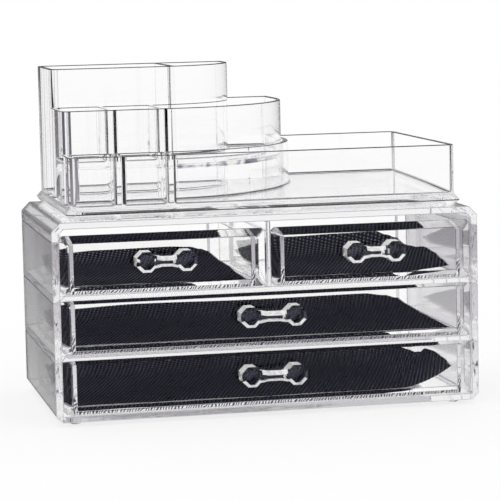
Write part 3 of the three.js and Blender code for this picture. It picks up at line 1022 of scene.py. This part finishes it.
class ORGANIZER_OT_lift_off_top(bpy.types.Operator):
    """Builds the lift-off top as one moulding: base, cups in three rows, and the open tray"""

    bl_idname = "organizer.lift_off_top"
    bl_label = "Lift-off top"

    def execute(self, context):
        settings = context.scene.organizer.top
        wall = settings.wall
        base_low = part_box("top_base")[0]
        row_low, row_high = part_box("front_cup_row")
        middle_low, middle_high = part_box("middle_cup_row")
        rear_low, rear_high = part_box("rear_cup_row")
        tray_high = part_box("tray_wall")[1]
        bottom = base_low.z
        floor = bottom + settings.floor_height
        middle_floor = bottom + settings.middle_floor
        tray_rim = bottom + settings.tray_rim
        middle_rim = bottom + settings.middle_rim
        rear_rim = bottom + settings.rear_rim
        left = row_low.x
        right = tray_high.x
        front = row_low.y
        back = tray_high.y
        inner_left = left + wall
        inner_front = front + wall
        inner_back = back - wall
        inner_middle = middle_low.y + wall
        row_end = row_high.x
        middle_front = middle_low.y
        middle_right = middle_high.x
        rear_front = rear_low.y
        rear_right = rear_high.x
        second_divider = row_end - wall
        cup_pitch = 28.8 * MM
        first_divider = second_divider - cup_pitch
        wide_divider = left + 71.9 * MM
        middle_curve = 76 * MM
        rear_curve = 48 * MM
        lip_curve = 80.5 * MM
        lip_right = middle_right + 2.1 * MM + wall
        lip_front = row_high.y - wall
        over = 3 * MM
        tight = 2 * MM
        corner = settings.cup_corner

        def flared(out, z):
            return ring(rectangle(
                left - out, front - out, right + out, back + out, settings.corner), z)

        flare = left - base_low.x
        low = bottom + 3.1 * MM
        lip = 0.6 * MM
        rim = settings.rim_radius
        # The flared lip and the tray's rim get the rim finish of painted shade
        block = skin("top_block", [
            flared(0, bottom), flared(flare, low), flared(flare, low + lip),
            flared(0, floor), flared(0, tray_rim - rim), flared(-rim, tray_rim),
        ], banded=(1, 4), band=EDGE)

        def stepped_row(row_front, row_right, curve, rim_height):
            return row_block(lambda i: rounded_outline([
                (left + i, row_front + i, settings.corner - i),
                (row_right - i, row_front + i, curve - i),
                (row_right - i, back - i, 0),
                (left + i, back - i, settings.corner - i),
            ]), floor + over, rim_height, rim)

        combine(block, [
            stepped_row(middle_front, middle_right, middle_curve, middle_rim),
            stepped_row(rear_front, rear_right, rear_curve, rear_rim),
        ], "UNION")

        def box_cup(x0, y0, x1, y1):
            return lambda i: rectangle(x0 + i, y0 + i, x1 - i, y1 - i, corner - i)

        def curved_rear_cup(i):
            curve = rear_curve - wall - i
            centre = Vector((rear_right - rear_curve, rear_front + rear_curve))
            start = math.acos(min(1, (wide_divider + i - centre.x) / curve))
            outline = Outline()
            outline.add((wide_divider + i, inner_back - i))
            outline.add((rear_right - wall - i, inner_back - i))
            outline.add_arc(centre, curve, 0, -start, settings.curve_steps)
            return outline

        def round_rear_row(first_x, rear_corner):
            return lambda i: rounded_outline([
                (first_x + i, inner_middle + i, corner - i),
                (middle_right - wall - i, inner_middle + i, middle_curve - wall - i),
                (middle_right - wall - i, inner_back - i, rear_corner - i),
                (rear_right + i, inner_back - i, rear_corner - i),
                (rear_right + i, rear_front - i, rear_curve + i),
                (first_x + i, rear_front - i, corner - i),
            ])

        def open_tray(i):
            return rounded_outline([
                (row_end + i, inner_front + i, tight - i),
                (right - wall - i, inner_front + i, tight - i),
                (right - wall - i, inner_back - i, tight - i),
                (lip_right + i, inner_back - i, tight - i),
                (lip_right + i, lip_front - i, lip_curve + i),
                (row_end + i, lip_front - i, tight - i),
            ])

        second = first_divider + wall
        cuts = [
            hollow(outline_at, z0, z1, settings.floor_fillet, rim)
            for outline_at, z0, z1 in (
                (box_cup(inner_left, inner_front, first_divider, lip_front), floor, tray_rim),
                (box_cup(second, inner_front, second_divider, lip_front), floor, tray_rim),
                (box_cup(inner_left, inner_middle, first_divider, rear_front),
                    middle_floor, middle_rim),
                (box_cup(second, inner_middle, second_divider, rear_front),
                    middle_floor, middle_rim),
                (round_rear_row(row_end, tight), middle_floor, middle_rim),
                (box_cup(inner_left, rear_front + wall, wide_divider - wall, inner_back),
                    floor, rear_rim),
                (curved_rear_cup, floor, rear_rim),
                (open_tray, floor, tray_rim),
            )
        ]
        under = middle_floor - wall
        ribbon_inset = settings.ribbon * 0.6
        outline_at = round_rear_row(inner_left, corner)
        outline = outline_at(0)
        # The bevel under the middle floor gets the ribbon finish of painted shade and glints
        cuts.append(skin("under_floor", [
            ring(outline, floor), ring(outline, under - settings.ribbon),
            ring(outline_at(ribbon_inset), under),
        ], outline.small, (1,), RIBBON))

        # The narrow gap between the tray's curved lip and the middle row's curved wall
        row_centre = Vector((middle_right - middle_curve, middle_front + middle_curve))
        lip_centre = Vector((lip_right - lip_curve, lip_front + lip_curve))
        outline = Outline()
        span = math.pi / 2 - math.radians(35)
        outline.add_arc(row_centre, middle_curve, -span, 0, settings.curve_steps)
        outline.add((middle_right, back + over))
        outline.add((lip_right - wall, back + over))
        outline.add_arc(lip_centre, lip_curve - wall, 0, -span, settings.curve_steps)
        cuts.append(upright("lip_gap", outline, floor, tray_rim + over))
        inset = 6 * MM
        depth = 3.2 * MM
        pocket = rectangle(left + inset, front + inset, right - inset, back - inset, 3 * MM)
        cuts.append(upright("pocket", pocket, bottom - over, bottom + depth))
        combine(block, cuts, "DIFFERENCE")
        work = taken_up(block)
        tidy_faces(work)
        for face in work.faces:
            middle = face.calc_center_median()
            if face.material_index == RIBBON and middle.x < row_end:
                face.material_index = BODY
            if face.material_index == CORNER and middle.x < inner_left + corner:
                face.material_index = BODY
            if abs(face.normal.x) > FACING and abs(middle.x) > -inner_left - NEAR:
                face.material_index = OUTER
        finished("top_moulding", work, top_plastic(), "lift_off_top", TOP_NODES)
        return {"FINISHED"}


class ORGANIZER_OT_stage(bpy.types.Operator):
    """Sets the pale floor, the plain light and the camera"""

    bl_idname = "organizer.stage"
    bl_label = "Stage"

    def execute(self, context):
        scene = context.scene
        settings = scene.organizer.stage
        work = bmesh.new()
        bmesh.ops.create_grid(work, x_segments=8, y_segments=8, size=4)
        new_piece("floor", mesh_of("floor", work), [floor_material()])

        world = bpy.data.worlds.new("studio")
        scene.world = world
        world.use_nodes = True
        tree = world.node_tree
        level = backdrop(tree, settings.surround)[1]
        feed(tree, tree.nodes["Background"], {"Strength": level, "Color": WHITE})

        camera_data = bpy.data.cameras.new("camera")
        camera_data.sensor_width = 36
        camera_data.lens = settings.lens / MM
        camera_data.clip_start = 0.05
        camera_data.clip_end = 20
        camera = new_piece("camera", camera_data)
        camera_place = (-0.2832, -1.3506, 0.2419)
        yaw, pitch, roll = 0.2086, 0.1125, -0.0212
        ahead = Vector((math.sin(yaw), math.cos(yaw), 0))
        across = Vector((math.cos(yaw), -math.sin(yaw), 0))
        above = Vector((0, 0, 1))
        tilted = above * math.cos(pitch) + ahead * math.sin(pitch)
        ahead = ahead * math.cos(pitch) - above * math.sin(pitch)
        side = across * math.cos(roll) + tilted * math.sin(roll)
        top = tilted * math.cos(roll) - across * math.sin(roll)
        turned = Matrix((side, top, -ahead)).transposed().to_4x4()
        camera.matrix_world = Matrix.Translation(camera_place) @ turned
        scene.camera = camera

        scene.view_settings.view_transform = "Standard"
        # With fewer bounces, light that runs along the clear floors is lost in black dashes
        bounces = 120
        scene.cycles.max_bounces = bounces
        scene.cycles.transmission_bounces = bounces
        scene.cycles.glossy_bounces = bounces
        scene.cycles.diffuse_bounces = 3
        scene.cycles.use_denoising = True
        return {"FINISHED"}


class ORGANIZER_PT_panel(bpy.types.Panel):
    """Lists the organizer's pieces and settings"""

    bl_idname = "ORGANIZER_PT_panel"
    bl_label = "Organizer"
    bl_space_type = "VIEW_3D"
    bl_region_type = "UI"
    bl_category = "Organizer"

    def draw(self, context):
        settings = context.scene.organizer
        for operator in OPERATORS:
            self.layout.operator(operator.bl_idname)
        for part in settings.__annotations__:
            group = getattr(settings, part)
            box = self.layout.box()
            for name in group.__annotations__:
                box.prop(group, name)


OPERATORS = (
    ORGANIZER_OT_cabinet, ORGANIZER_OT_divider, ORGANIZER_OT_feet, ORGANIZER_OT_drawer_boxes,
    ORGANIZER_OT_handles, ORGANIZER_OT_liners, ORGANIZER_OT_lift_off_top, ORGANIZER_OT_stage,
)
SETTINGS = (
    PlasticSettings, CabinetSettings, DrawerSettings, TopSettings, LinerSettings, StageSettings,
    OrganizerSettings,
)
CLASSES = (*SETTINGS, *OPERATORS, ORGANIZER_PT_panel)


def register():
    """Registers the settings, the operators and the panel."""
    for item in CLASSES:
        bpy.utils.register_class(item)
    bpy.types.Scene.organizer = PointerProperty(type=OrganizerSettings)


def unregister():
    """Takes the settings, the operators and the panel out again."""
    del bpy.types.Scene.organizer
    for item in reversed(CLASSES):
        bpy.utils.unregister_class(item)


def main():
    """Builds the whole organizer."""
    register()
    bpy.ops.organizer.cabinet()
    bpy.ops.organizer.divider()
    bpy.ops.organizer.feet()
    bpy.ops.organizer.drawer_boxes()
    bpy.ops.organizer.handles()
    bpy.ops.organizer.liners()
    bpy.ops.organizer.lift_off_top()
    bpy.ops.organizer.stage()


if __name__ == "__main__":
    main()
